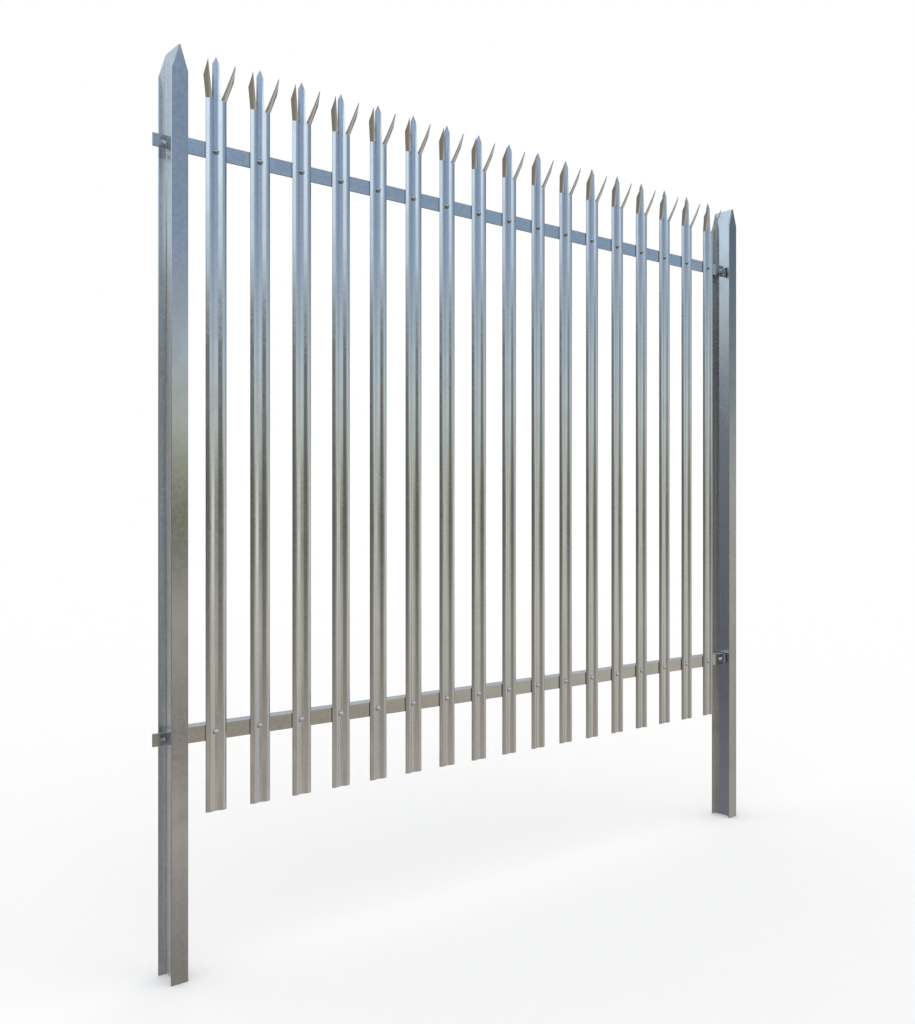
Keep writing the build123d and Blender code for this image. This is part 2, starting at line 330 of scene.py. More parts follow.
def zinc(name, tint, roughness, coat, metal=1.0, fade=None):
    """A galvanised finish of this tint and roughness. A fade is a start height, an end height and a gain."""
    material = bpy.data.materials.new(name)
    material.use_nodes = True
    tree = material.node_tree
    shader = tree.nodes["Principled BSDF"]
    place = add_node(tree, "ShaderNodeTexCoord").outputs["Object"]
    crystal, dull, shade = zinc_pattern(tree, place, coat)
    if fade:
        shade = faded(tree, place, shade, *fade)
    colour = add_node(tree, "ShaderNodeVectorMath", {"operation": "SCALE"}, i0=tint, Scale=shade)
    dulled = calc(tree, "MULTIPLY_ADD", dull, cloud_dulling, roughness - mean_dulling)
    dulled = calc(tree, "MULTIPLY_ADD", crystal, crystal_dulling, dulled)
    fine = add_node(tree, "ShaderNodeTexNoise", Vector=place, Scale=grain_scale, Detail=2.0)
    bump = add_node(tree, "ShaderNodeBump", Strength=coat["grain"], Distance=grain_depth, Height=fine.outputs[0])
    fill(tree, shader.inputs["Base Color"], colour.outputs[0])
    fill(tree, shader.inputs["Roughness"], dulled)
    fill(tree, shader.inputs["Normal"], bump.outputs[0])
    fill(tree, shader.inputs["Metallic"], metal)
    return material


print("zinc: grain", round(grain_depth / mm, 2), "mm deep")

# %% [markdown]
# ## Finished pieces
# Every piece ends in the same way: as a plain mesh with its place in its points, riding on the fence and standing
# in for the nodes of the frame that it dresses. These helpers do that, so that each piece below is only its shape
# and its finish.


# %% Piece helpers
def new_mesh(name, shape):
    """A plain mesh of a worked shape, which is then let go."""
    mesh = bpy.data.meshes.new(name)
    shape.to_mesh(mesh)
    shape.free()
    return mesh


def finished_mesh(piece):
    """The mesh of a piece with its modifiers worked in, as a plain mesh."""
    depsgraph = bpy.context.evaluated_depsgraph_get()
    mesh = bpy.data.meshes.new_from_object(piece.evaluated_get(depsgraph))
    piece.modifiers.clear()
    return mesh


def new_piece(name, mesh):
    """An object for this mesh, at the origin of the frame."""
    piece = bpy.data.objects.new(name, mesh)
    scene.collection.objects.link(piece)
    return piece


def join_part(piece, slot, *nodes):
    """Puts a piece on the fence, in place of these nodes of the frame."""
    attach(piece, "root")
    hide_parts(*nodes)


print("helpers:", [helper.__name__ for helper in (new_mesh, finished_mesh, new_piece, join_part)])

# %% [markdown]
# ## Eased edges
# Posts, rails and fishplates are rolled bars, cut and punched, and the frame already holds their exact shapes. What
# a real bar has and the frame lacks is the small round on its edges, which catches the light. The bars could be
# drawn again from their sections, but a copy of the frame's own shape can't go wrong: its triangles are joined
# into whole faces, and a Bevel modifier rounds its edges.
# A bevel is held back everywhere by the shortest edge it meets, so it only takes the edges that have room for it
# at both ends, and those are marked with a weight.

# %% Eased edges
weld = 0.01 * mm
sharp_angle = radians(35)
flat_angle = radians(1)
room = 2.2
round_steps = 2


def mark_edges(shape, width):
    """Marks the sharp edges that have room for a round of this width at both of their ends."""
    weight = shape.edges.layers.float.new("bevel_weight_edge")
    marked = 0
    for line in shape.edges:
        sharp = len(line.link_faces) == 2 and line.calc_face_angle() > sharp_angle
        near = [edge for corner in line.verts for edge in corner.link_edges]
        if sharp and min(edge.calc_length() for edge in near) > room * width:
            line[weight] = 1.0
            marked += 1
    return marked


def ease_edges(piece, width, marked=False):
    """Rounds the sharp edges of a piece, or the marked ones, and keeps its flat faces flat in the light."""
    for polygon in piece.data.polygons:
        polygon.use_smooth = True
    bevel = piece.modifiers.new("eased edges", "BEVEL")
    bevel.width = width
    bevel.segments = round_steps
    bevel.limit_method = "WEIGHT" if marked else "ANGLE"
    bevel.angle_limit = sharp_angle
    bevel.use_clamp_overlap = not marked
    shading = piece.modifiers.new("flat faces", "WEIGHTED_NORMAL")
    shading.keep_sharp = True
    piece.data = finished_mesh(piece)


def eased_bar(node, name, edge, finish):
    """A copy of a bar of the frame with its flat faces whole and its edges eased."""
    shape = bmesh.new()
    shape.from_mesh(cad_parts[node].data)
    bmesh.ops.remove_doubles(shape, verts=shape.verts, dist=weld)
    bmesh.ops.dissolve_limit(shape, angle_limit=flat_angle, verts=shape.verts, edges=shape.edges)
    print("bar:", name, mark_edges(shape, edge), "of", len(shape.edges), "edges eased")
    mesh = new_mesh(name, shape)
    mesh.materials.clear()
    mesh.materials.append(finish)
    piece = new_piece(name, mesh)
    ease_edges(piece, edge, marked=True)
    return piece


print("rounds: on edges sharper than", round(degrees(sharp_angle)), "degrees")

# %% [markdown]
# ## Finishes of the posts and fishplates
# A dipped post is not the same all over. On the left post the web and the flanges of the channel have coats of their
# own: the web a lighter tint and the flanges a darker one, painted light and shade in the channel, and the web
# grows darker and the flanges lighter towards the top, as painted shade and light. The right post has painted
# shade: its front and the inner sides of its flanges grow darker towards the top. The fishplates at the right are
# duller than those at the left, and have a much lighter tint, a painted light. One zinc for all would be simpler,
# and the two posts would then look alike, which they don't.

# %% Finishes of the posts and fishplates
upright_runs = (70.0, 70.0, 1.5)
lying_runs = (1.5, 70.0, 70.0)
post_coat = {"spangle": 9 * mm, "grain": 0.03, "runs": upright_runs, "clouding": 0.05}
channel_coat = {**post_coat, "grain": 0.01}
plate_coat = {"spangle": 7 * mm, "grain": 0.05, "runs": lying_runs, "clouding": 0.06}
post_zinc = zinc("post zinc", (0.66, 0.67, 0.68), 0.12, post_coat)
# The lighter web, the darker flanges and their fades by height are painted light and shade in the channel.
web_zinc = zinc("channel web zinc", (0.9, 0.93, 0.95), 0.11, channel_coat, 0.74, (2.25, 2.6, -0.2))
flange_zinc = zinc("channel flange zinc", (0.55, 0.58, 0.6), 0.11, channel_coat, 0.89, (2.0, 2.5, 0.2))
# The fades of the right post darken it towards the top, a painted shade.
top_shade_zinc = zinc("top shade zinc", (0.57, 0.575, 0.555), 0.14, post_coat, 1.0, (1.4, 2.3, -0.38))
top_shade_flange_zinc = zinc("top shade flange zinc", (0.66, 0.67, 0.67), 0.14, post_coat, 0.78, (1.4, 2.3, -0.36))
plate_zinc = zinc("plate zinc", (0.56, 0.57, 0.58), 0.22, plate_coat)
# The much lighter tint of the right fishplates is a painted light.
dull_lit_plate_zinc = zinc("dull lit plate zinc", (0.85, 0.86, 0.87), 0.36, plate_coat, 0.3)
plate_finish = {"left": plate_zinc, "right": dull_lit_plate_zinc}
post_finishes = (post_zinc, web_zinc, flange_zinc, top_shade_zinc, top_shade_flange_zinc)
print("post finishes:", [finish.name for finish in post_finishes])

# %% [markdown]
# ## Posts and fishplates
# The posts are I-sections with both flanges cut to a point. The fishplates are flat bars that pass through slots
# in the posts' webs, and the rails of this bay and of the next one are bolted to them. The faces of a post that
# have another finish could be picked by hand, one by one. A rule on where a face lies and which way it looks does
# the same, and still holds if the post is changed.

# %% Posts and fishplates
post_edge = 1.5 * mm
plate_edge = 0.6 * mm
channel_half = 44.8 * mm
front_depth = 49 * mm
leaning = 0.5
square_on = 0.9


def refinish(piece, finish, chosen):
    """Gives another finish to the faces that are chosen by their middle and their normal."""
    piece.data.materials.append(finish)
    for polygon in piece.data.polygons:
        if chosen(polygon.center, polygon.normal):
            polygon.material_index = len(piece.data.materials) - 1


def in_channel(place, normal):
    """Whether a face of a post lies between its flanges."""
    return abs(place.y) < channel_half


def inside_flange(place, normal):
    """Whether a face of a post is the inner side of a flange."""
    return in_channel(place, normal) and abs(normal.y) > leaning


def front_face(place, normal):
    """Whether a face of a post is the flat front of its front flange."""
    return normal.y < -square_on and place.y < -front_depth


for side in ("left", "right"):
    post = eased_bar(f"post_{side}", f"{side}_post", post_edge, post_zinc)
    if side == "left":
        refinish(post, web_zinc, in_channel)
        refinish(post, flange_zinc, inside_flange)
    else:
        refinish(post, top_shade_zinc, front_face)
        refinish(post, top_shade_flange_zinc, inside_flange)
    join_part(post, "post_steel", f"post_{side}")
    for level in ("top", "bottom"):
        node = f"fishplate_{side}_{level}"
        plate = eased_bar(node, f"{side}_{level}_fishplate", plate_edge, plate_finish[side])
        join_part(plate, "plate_steel", node)
print("posts:", len(post.data.polygons), "faces each, and", len(plate.data.polygons), "on a fishplate")

# %% [markdown]
# ## Rails
# A rail is an equal angle with one leg upright at the front and the other lying back from its top. The top rail
# has a cooler tint than the bottom one, a painted reflection of the cooler light that it mirrors, the top of the
# lying leg is duller, and the faces that look down get a dark finish, a painted shade. The rails could be drawn
# from their section, but they are made as the posts are, because that keeps their punched holes, and then get one
# finish for each way that a face looks.

# %% Rails
rail_edge = 0.8 * mm
rail_coat = {"spangle": 8 * mm, "grain": 0.03, "runs": lying_runs, "clouding": 0.05}
shade_coat = {"spangle": 6 * mm, "grain": 0.05, "runs": upright_runs, "clouding": 0.05}
# The cooler tint of the top rail and the warmer tint of the bottom rail are a painted reflection.
rail_zinc = zinc("rail zinc", (0.69, 0.73, 0.77), 0.16, rail_coat)
low_rail_zinc = zinc("low rail zinc", (0.72, 0.71, 0.68), 0.16, rail_coat)
rail_top_zinc = zinc("rail top zinc", (0.62, 0.64, 0.66), 0.2, rail_coat, 0.65)
# A dark finish, a painted shade, for the faces that look down and for the rims of the pales.
painted_shade_zinc = zinc("painted shade zinc", (0.2, 0.2, 0.195), 0.36, shade_coat)


def underside(place, normal):
    """Whether a face looks straight down."""
    return normal.z < -square_on


def topside(place, normal):
    """Whether a face looks straight up."""
    return normal.z > square_on


for level, rail_finish in (("top", rail_zinc), ("bottom", low_rail_zinc)):
    rail = eased_bar(f"rail_{level}", f"{level}_rail", rail_edge, rail_finish)
    refinish(rail, painted_shade_zinc, underside)
    refinish(rail, rail_top_zinc, topside)
    join_part(rail, "rail_steel", f"rail_{level}")
print("rails:", len(rail.data.polygons), "faces each")

# %% [markdown]
# ## Pale
# A pale is a long strip folded to a W, so it is modelled as a sheet that is given its thickness afterwards. A solid
# cut into shape would need its inside and its outside drawn apart. The section is a line with rounded folds, worked
# out for half of the pale, from the middle of its valley to its outer edge. All its points lie on the front of
# the strip, one thickness in front of the back that rests on the rails.

# %% Section of the pale
strip = 3 * mm
back = -10 * mm
front = back - strip
edge_half = 34.2 * mm
ridge_half = 22.8 * mm
valley_half = 7.7 * mm
ridge_rise = 7.7 * mm
ridge_radius = 11.8 * mm
valley_radius = 17.3 * mm
edge_band = 2.6 * mm
valley_steps = 6
ridge_steps = 14
slope_angle = atan2(ridge_rise, ridge_half - valley_half)
flank_angle = atan2(ridge_rise, edge_half - ridge_half)
slope_normal = Vector((-sin(slope_angle), -cos(slope_angle)))
flank_normal = Vector((sin(flank_angle), -cos(flank_angle)))
valley_middle = Vector((0, front))
valley = Vector((valley_half - strip * tan(slope_angle / 2), front))
ridge_shift = (slope_normal + flank_normal) / (1 + slope_normal @ flank_normal)
ridge = Vector((ridge_half, back - ridge_rise)) + ridge_shift * strip
flank_edge = Vector((edge_half, back)) + flank_normal * strip


def rounded(before, corner, after, radius, steps):
    """Points on the round of a fold, from the corner's one tangent point to the other."""
    inward = (before - corner).normalized()
    outward = (after - corner).normalized()
    half = inward.angle(outward) / 2
    reach = radius / tan(half)
    centre = corner + (inward + outward).normalized() * radius / sin(half)
    first = corner + inward * reach - centre
    turn = first.angle_signed(corner + outward * reach - centre)
    return [centre + Matrix.Rotation(-turn * i / steps, 2) @ first for i in range(steps + 1)]


section = [valley_middle] + rounded(valley_middle, valley, ridge, valley_radius - strip, valley_steps)
section += rounded(valley, ridge, flank_edge, ridge_radius + strip, ridge_steps)
section += [flank_edge + (section[-1] - flank_edge).normalized() * edge_band, flank_edge]
print("section:", len(section), "points on half a pale, from", section[0], "to", section[-1])

# %% [markdown]
# ## Head of the pale
# At the head the strip is slit in three. The middle stays upright and is cut to a point, and the two outer folds are
# bent out to the front and cut slanting. Each of these is a grid of points that starts on the same row as the body,
# so the sheet stays whole. Cutting them from a solid would be quicker, but would lose the even grid that bends
# cleanly.
# The head needs the section at any place across the pale, so a short function reads it off the line. The upright
# middle narrows a little to its shoulders, and its folds flatten out towards the point.

# %% Middle point
pale_tip = 2865 * mm
head_bend = 2730 * mm
middle_base = 14.2 * mm
middle_shoulder = 11.5 * mm
point_height = 24 * mm
point_flattening = 0.6
middle_steps = 4


def depth_at(x):
    """The front face of the section at this distance from the middle."""
    for start, end in zip(section, section[1:]):
        if x <= end.x:
            return start.y + (end.y - start.y) * (x - start.x) / (end.x - start.x)
    return section[-1].y


def point_rows(inside, base):
    """Rows of points of the upright middle, from the height of its base to its shoulders and its point."""
    whole = [-x for x in reversed(inside[1:])] + inside
    shoulder = pale_tip - point_height
    rows = []
    for i in range(middle_steps + 1):
        share = i / middle_steps
        across = [x * (1 + share * (middle_shoulder / middle_base - 1)) for x in whole]
        depths = [front + (depth_at(abs(x)) - front) * (1 - point_flattening * share) for x in across]
        z = base + share * (shoulder - base)
        rows.append([(x, y, z) for x, y in zip(across, depths)])
    tops = [pale_tip - point_height * abs(x) / middle_shoulder for x in across]
    rows.append(list(zip(across, depths, tops)))
    return rows


print("middle point:", round(point_height / mm), "mm high, tip at", round(pale_tip, 3), "m")

# %% [markdown]
# A side prong is worked out on the plane of its flank: how far in from the outer edge a point lies, how far up, and
# how far the round of the fold stands back from that plane. So the prong keeps the fold it was slit from, and the
# bend only turns that plane forward.

# %% Side prong
slit_half = 14.7 * mm
prong_turn = radians(32.6)
splay = radians(21.5)
splay_radius = 4 * mm
prong_tip = Vector((12.8 * mm, 112 * mm))
prong_shoulder = Vector((-4 * mm, 66 * mm))
bend_steps = 4
prong_steps = 5
bend_reach = splay_radius * tan(splay / 2)
upward = Vector((0, 0, 1))
inward = Vector((-cos(prong_turn), -sin(prong_turn), 0))
forward = Vector((sin(prong_turn), -cos(prong_turn), 0))
prong_rise = forward * sin(splay) + upward * cos(splay)
prong_facing = forward * cos(splay) - upward * sin(splay)


def on_flank(folds):
    """Each point of the folds by how far in from the outer edge and how far behind the flank it lies."""
    offsets = [(point - flank_edge).to_3d() for point in folds]
    return [Vector((offset @ inward, -offset @ forward)) for offset in offsets]


def set_back(columns, u):
    """How far the fold stands behind the flank at this distance in from the edge."""
    for start, end in zip(columns, columns[1:]):
        if u >= end.x:
            break
    return start.y + (end.y - start.y) * (u - start.x) / (end.x - start.x)


def prong_end(u, crest, slit):
    """Where the slanting end of the prong lies at this distance in from the edge."""
    if u <= crest:
        return prong_shoulder.lerp(prong_tip, u / crest)
    return prong_tip.lerp(slit, (u - crest) / (slit.x - crest))


def prong_rows(folds):
    """Rows of points of the right prong, from the start of its bend to its slanting end."""
    columns = on_flank(folds)
    corner = flank_edge.to_3d() + upward * head_bend
    bend_axis = corner - upward * bend_reach + forward * splay_radius
    slit = Vector((columns[0].x, bend_reach))
    crest = min((u for u, deep in columns), key=lambda u: abs(u - prong_tip.x))
    rows = []
    for i in range(bend_steps + 1):
        turn = splay * i / bend_steps
        facing = forward * cos(turn) - upward * sin(turn)
        rows.append([bend_axis - facing * (splay_radius + deep) + inward * u for u, deep in columns])
    for i in range(1, prong_steps + 1):
        share = i / prong_steps
        places = [Vector((u, bend_reach)).lerp(prong_end(u, crest, slit), share) for u, deep in columns]
        rows.append([corner + inward * u + prong_rise * v - prong_facing * set_back(columns, u) for u, v in places])
    return rows


print("prong:", round(prong_tip.y / mm), "mm long, splayed", round(degrees(splay), 1), "degrees")

# %% [markdown]
# ## Finishes of the pale
# The front of a pale is the brightest zinc of the fence. Its middle point is painted a little brighter still
# towards the tip, a painted light. The prongs are a little duller and darker, and so is a narrow band along each
# outer edge, the darker tints a painted shade. The cut edges all round the strip are painted dark, a painted
# shade. They could be painted by a mask, but slots give a clean line: the sheet has one slot for each of these
# fronts, and after each one a slot for the cut edge, because Solidify gives the rim the slot after its face's.

# %% Finishes of the pale
pale_coat = {"spangle": 6 * mm, "grain": 0.025, "runs": upright_runs, "clouding": 0.04}
pale_zinc = zinc("pale zinc", (0.82, 0.83, 0.84), 0.12, pale_coat)
# A painted light: the middle point grows lighter towards its tip.
lit_point_zinc = zinc("lit point zinc", (0.82, 0.83, 0.84), 0.12, pale_coat, 1.0, (2.72, 2.81, 0.17))
# Painted shade: darker tints on the prongs and on the band along the outer edges.
prong_shade_zinc = zinc("prong shade zinc", (0.74, 0.74, 0.74), 0.14, pale_coat)
edge_shade_zinc = zinc("edge shade zinc", (0.57, 0.58, 0.59), 0.14, pale_coat)
pale_fronts = (pale_zinc, lit_point_zinc, prong_shade_zinc, edge_shade_zinc)
pale_slot, point_slot, prong_slot, edge_slot = range(0, 2 * len(pale_fronts), 2)
print("pale finishes:", [finish.name for finish in pale_fronts])

# %% [markdown]
# ## Sheet of the pale
# Below the head the sheet is the section drawn straight up, and a few tall faces are enough for it. The middle and
# the prongs stand on its top row, and where their first rows lie on it the points are welded, so that the strip is
# one skin with two slits.

# %% Sheet of the pale
pale_foot = 493.5 * mm
pale_edge = 0.5 * mm
bend_margin = 10 * mm
seam = 0.02 * mm
slack = 0.1 * mm


def strip_grid(shape, rows, slot):
    """Faces between rows of points that all have the same number of columns."""
    made = [[shape.verts.new(point) for point in points] for points in rows]
    for lower, upper in zip(made, made[1:]):
        for i in range(len(lower) - 1):
            face = shape.faces.new((lower[i], lower[i + 1], upper[i + 1], upper[i]))
            face.material_index = slot


def pale_sheet():
    """The front face of a pale as one sheet: body, pointed middle and two splayed prongs."""
    shape = bmesh.new()
    inside = [p.x for p in section if p.x < middle_base] + [middle_base]
    folds = [Vector((slit_half, depth_at(slit_half)))] + [p for p in section if p.x > slit_half]
    half = [Vector((x, depth_at(x))) for x in inside] + folds
    whole = [Vector((-p.x, p.y)) for p in reversed(half[1:])] + half
    bend_start = head_bend - bend_reach
    heights = (pale_foot, bend_start - bend_margin, bend_start)
    right_prong = prong_rows(folds)
    left_prong = [[(-p.x, p.y, p.z) for p in reversed(points)] for points in right_prong]
    strip_grid(shape, [[(p.x, p.y, z) for p in whole] for z in heights], pale_slot)
    strip_grid(shape, point_rows(inside, bend_start), point_slot)
    strip_grid(shape, right_prong, prong_slot)
    strip_grid(shape, left_prong, prong_slot)
    bmesh.ops.remove_doubles(shape, verts=shape.verts, dist=seam)
    return shape


def band_edges(shape):
    """Gives the faces along the outer edges of the body the slot of the edge band, with its painted shade."""
    band_start = section[-2].x - slack
    for face in shape.faces:
        inner = min(abs(v.co.x) for v in face.verts)
        if face.material_index == pale_slot and inner > band_start:
            face.material_index = edge_slot


sheet = pale_sheet()
band_edges(sheet)
pale = new_piece("pale_template", new_mesh("pale", sheet))
for pale_front in pale_fronts:
    pale.data.materials.append(pale_front)
    pale.data.materials.append(painted_shade_zinc)
print("sheet:", len(pale.data.polygons), "faces")

# %% [markdown]
# The sheet is the front of the strip, so Solidify grows its thickness backwards, and keeps it even round the folds.
# A small bevel then takes the knife edge off the rim.

# %% Thickness of the pale
thickness = pale.modifiers.new("strip", "SOLIDIFY")
thickness.thickness = strip
thickness.material_offset_rim = 1
thickness.offset = -1
thickness.use_even_offset = True
pale.data = finished_mesh(pale)
ease_edges(pale, pale_edge)
print("pale:", len(pale.data.polygons), "faces")

# %% [markdown]
# ## Rows along the fence
# Pales, bolts and nuts all repeat along the fence at an even pitch. An Array modifier could repeat them, but it can't
# turn each copy a little, so one Geometry Nodes tree serves them all. It draws a line of points, puts the piece on
# every point, turns each one a little where a spanner left it, and makes the copies real, because only real faces
# can leave Blender. The finish goes on the faces of the first slot, so that the cut edges of a pale keep theirs.

# %% Row tree
row_inputs = {
    "Geometry": "Geometry", "Piece": "Object", "Count": "Int", "Pitch": "Float", "Height": "Float",
    "Turn": "Float", "Seed": "Int", "Finish": "Material",
}


def row_tree():
    """A tree that repeats a piece along the fence, with named inputs for its sizes."""
    tree = bpy.data.node_groups.new("row along the fence", "GeometryNodeTree")
    for name, kind in row_inputs.items():
        tree.interface.new_socket(name, in_out="INPUT", socket_type=f"NodeSocket{kind}")
    tree.interface.new_socket("Geometry", in_out="OUTPUT", socket_type="NodeSocketGeometry")
    given = add_node(tree, "NodeGroupInput").outputs
    gaps = calc(tree, "SUBTRACT", given["Count"], 1.0)
    start = calc(tree, "MULTIPLY", calc(tree, "MULTIPLY", gaps, given["Pitch"]), -0.5)
    first = add_node(tree, "ShaderNodeCombineXYZ", X=start, Z=given["Height"]).outputs[0]
    step = add_node(tree, "ShaderNodeCombineXYZ", X=given["Pitch"]).outputs[0]
    line = add_node(tree, "GeometryNodeMeshLine", {"mode": "OFFSET"}, Count=given["Count"], Offset=step)
    fill(tree, line.inputs["Start Location"], first)
    piece = add_node(tree, "GeometryNodeObjectInfo", Object=given["Piece"]).outputs["Geometry"]
    spin = add_node(tree, "FunctionNodeRandomValue", {"data_type": "FLOAT"}, Seed=given["Seed"])
    fill(tree, spin.inputs[2], calc(tree, "MULTIPLY", given["Turn"], -1.0))
    fill(tree, spin.inputs[3], given["Turn"])
    twist = add_node(tree, "ShaderNodeCombineXYZ", Y=spin.outputs[1]).outputs[0]
    points = {"Points": line.outputs[0], "Instance": piece, "Rotation": twist}
    copies = add_node(tree, "GeometryNodeInstanceOnPoints", **points)
    real = add_node(tree, "GeometryNodeRealizeInstances", Geometry=copies.outputs[0])
    first_slot = calc(tree, "LESS_THAN", add_node(tree, "GeometryNodeInputMaterialIndex").outputs[0], 0.5)
    painted = {"Geometry": real.outputs[0], "Material": given["Finish"], "Selection": first_slot}
    done = add_node(tree, "GeometryNodeSetMaterial", **painted)
    add_node(tree, "NodeGroupOutput", Geometry=done.outputs[0])
    return tree


rows_along = row_tree()
print("row tree:", len(rows_along.nodes), "nodes, inputs", list(row_inputs))

# %% [markdown]
# A row is that tree on an empty carrier, with its inputs set, and made a plain mesh at once. The pitch and the number
# of the pales could be written here again, but they come from the frame, so that the row always meets its rails.


# %% Row of pales
def row(name, piece, **sizes):
    """A row of copies of a piece, as one plain mesh."""
    carrier = new_piece(name, bpy.data.meshes.new(name))
    modifier = carrier.modifiers.new("row", "NODES")
    modifier.node_group = rows_along
    for item in rows_along.interface.items_tree:
        if item.in_out == "INPUT" and item.name != "Geometry":
            modifier[item.identifier] = piece if item.name == "Piece" else sizes[item.name]
    carrier.data = finished_mesh(carrier)
    print("row:", name, len(carrier.data.polygons), "faces")
    return carrier


pale_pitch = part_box(pale_nodes[1])[0].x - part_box(pale_nodes[0])[0].x
pale_count = len(pale_nodes)
pales = row("pales", pale, Count=pale_count, Pitch=pale_pitch, Height=0.0, Turn=0.0, Seed=1, Finish=pale_zinc)
bpy.data.objects.remove(pale)
join_part(pales, "pale_steel", *pale_nodes)
print("pitch:", round(pale_pitch / mm, 1), "mm")

# %% [markdown]
# ## Pale bolts and cone nuts
# A pale is held to each rail by a bolt with a low cup head, which stands across the valley of the pale, and by a
# cone nut behind the rail, which no spanner can grip. Round fasteners are turned on a lathe, and so are these: a
# profile goes round the line of the bolt. A cylinder and a flattened ball would do from afar, but not show the
# thread and the rim. Blender's own spin numbers its faces anew in each run, so the faces are laid here one by one.

# %% Turned pieces
lathe_sides = 28
smooth_angle = radians(38)
thread_depth = 0.55


def turned(name, profile):
    """A closed shape turned about the Y axis from a profile of (radius, place along Y) pairs."""
    shape = bmesh.new()
    lines = []
    for i in range(lathe_sides):
        x, z = cos(2 * pi * i / lathe_sides), sin(2 * pi * i / lathe_sides)
        lines.append([shape.verts.new((radius * x, y, radius * z)) for radius, y in profile])
    for line, after in zip(lines, lines[1:] + lines[:1]):
        for j in range(len(profile) - 1):
            shape.faces.new((line[j], line[j + 1], after[j + 1], after[j]))
    bmesh.ops.remove_doubles(shape, verts=shape.verts, dist=weld)
    bmesh.ops.recalc_face_normals(shape, faces=shape.faces)
    mesh = new_mesh(name, shape)
    mesh.polygons.foreach_set("use_smooth", [True] * len(mesh.polygons))
    mesh.set_sharp_from_angle(angle=smooth_angle)
    print("turned:", name, len(mesh.polygons), "faces")
    return new_piece(name, mesh)


def thread(radius, start, end, pitch):
    """The profile of a thread from one place to another, as a row of crests and roots."""
    depth = thread_depth * pitch
    turns = max(1, round((end - start) / pitch))
    step = (end - start) / turns
    profile = []
    for i in range(turns):
        profile += [(radius, start + i * step), (radius - depth, start + (i + 0.5) * step)]
    return profile


print("lathe:", lathe_sides, "sides, threads", thread_depth, "of their pitch deep")

# %% [markdown]
# The cup is a cap of a ball on a low rim, and the shank carries its thread behind the rail. The cone nut is wider at
# the rail than at its end, so that a spanner slips off. Their profiles share the same named places along the bolt,
# and so they meet.

# %% Pale bolt and cone nut
rail_back = -4 * mm
cup_half = 9.5 * mm
cup_rise = 5.5 * mm
cup_rim = 0.8 * mm
cup_steps = 8
cup_gap = 1.4 * mm
cup_seat = front - cup_gap
bolt_half = 4 * mm
bolt_bore = 4.05 * mm
bolt_thread = 1.25 * mm
bolt_overhang = 2 * mm
bolt_chamfer = 0.6 * mm
cone_height = 8 * mm
cone_end = rail_back + cone_height
bolt_end = cone_end + bolt_overhang
cup_dome = cup_rise - cup_rim
cup_radius = (cup_half**2 + cup_dome**2) / (2 * cup_dome)
cup_arc = atan2(cup_half, cup_radius - cup_dome)
cup_turns = [cup_arc * i / cup_steps for i in range(cup_steps + 1)]
cup_profile = [(cup_radius * sin(a), cup_seat + (cup_radius * (1 - cos(a)) - cup_rise)) for a in cup_turns]
cup_profile += [(cup_half, cup_seat), (bolt_half, cup_seat)]
cup_profile += thread(bolt_half, rail_back, bolt_end - bolt_chamfer, bolt_thread)
cup_profile += [(3.2 * mm, bolt_end), (0, bolt_end)]
pale_bolt = turned("pale_bolt_template", cup_profile)
cone_profile = [
    (bolt_bore, rail_back),
    (7.7 * mm, rail_back),
    (8 * mm, rail_back + 0.5 * mm),
    (6.6 * mm, cone_end - 0.7 * mm),
    (5.9 * mm, cone_end),
    (4.6 * mm, cone_end),
    (bolt_bore, cone_end - 0.6 * mm),
    (bolt_bore, rail_back),
]
cone_nut = turned("cone_nut_template", cone_profile)

# %% [markdown]
# The upper bolts have a dark bluish tint, a painted reflection of the dark side of the sky, and the lower ones are
# partly weathered, with a paler, warmer tint that is a painted light. Both rows have the pitch of the pales.

# %% Rows of pale bolts and cone nuts
bolt_coat = {"spangle": 3 * mm, "grain": 0.05, "runs": upright_runs, "clouding": 0.06}
# The dark bluish tint is a painted reflection on the upper bolts, and the paler, warmer tint a painted light on the
# lower ones.
fastener_zinc = zinc("fastener zinc", (0.46, 0.51, 0.56), 0.2, bolt_coat)
lit_low_bolt_zinc = zinc("lit low bolt zinc", (0.66, 0.64, 0.61), 0.24, bolt_coat, 0.72)
cup_finish = {"top": fastener_zinc, "bottom": lit_low_bolt_zinc}
rail_height = {level: sum(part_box(f"rail_{level}"), Vector()).z / 2 for level in ("top", "bottom")}
for level, height in rail_height.items():
    common = {"Count": pale_count, "Pitch": pale_pitch, "Height": height, "Turn": 0.0}
    bolts = row(f"cup_bolts_{level}", pale_bolt, Seed=2, Finish=cup_finish[level], **common)
    join_part(bolts, "fastener_steel", f"pale_bolts_{level}")
    nuts = row(f"shear_nuts_{level}", cone_nut, Seed=3, Finish=fastener_zinc, **common)
    join_part(nuts, "fastener_steel", f"cone_nuts_{level}")
print("rails at:", {level: round(height, 3) for level, height in rail_height.items()})

# %% [markdown]
# ## Rail bolts, washers and nuts
# Each end of a rail is held to its fishplate by a hexagon bolt, a washer and a nut. A hexagon is a six-sided prism
# whose corners were turned off by a cone. A cone could be taken from it with a Boolean, but that leaves ragged
# triangles, so slanting planes, set round the axis, cut the prism and close it again.

# %% Hexagon pieces
hexagon = 19 * mm
rim_share = 0.96
corner_fall = radians(30)
corner_cuts = 24


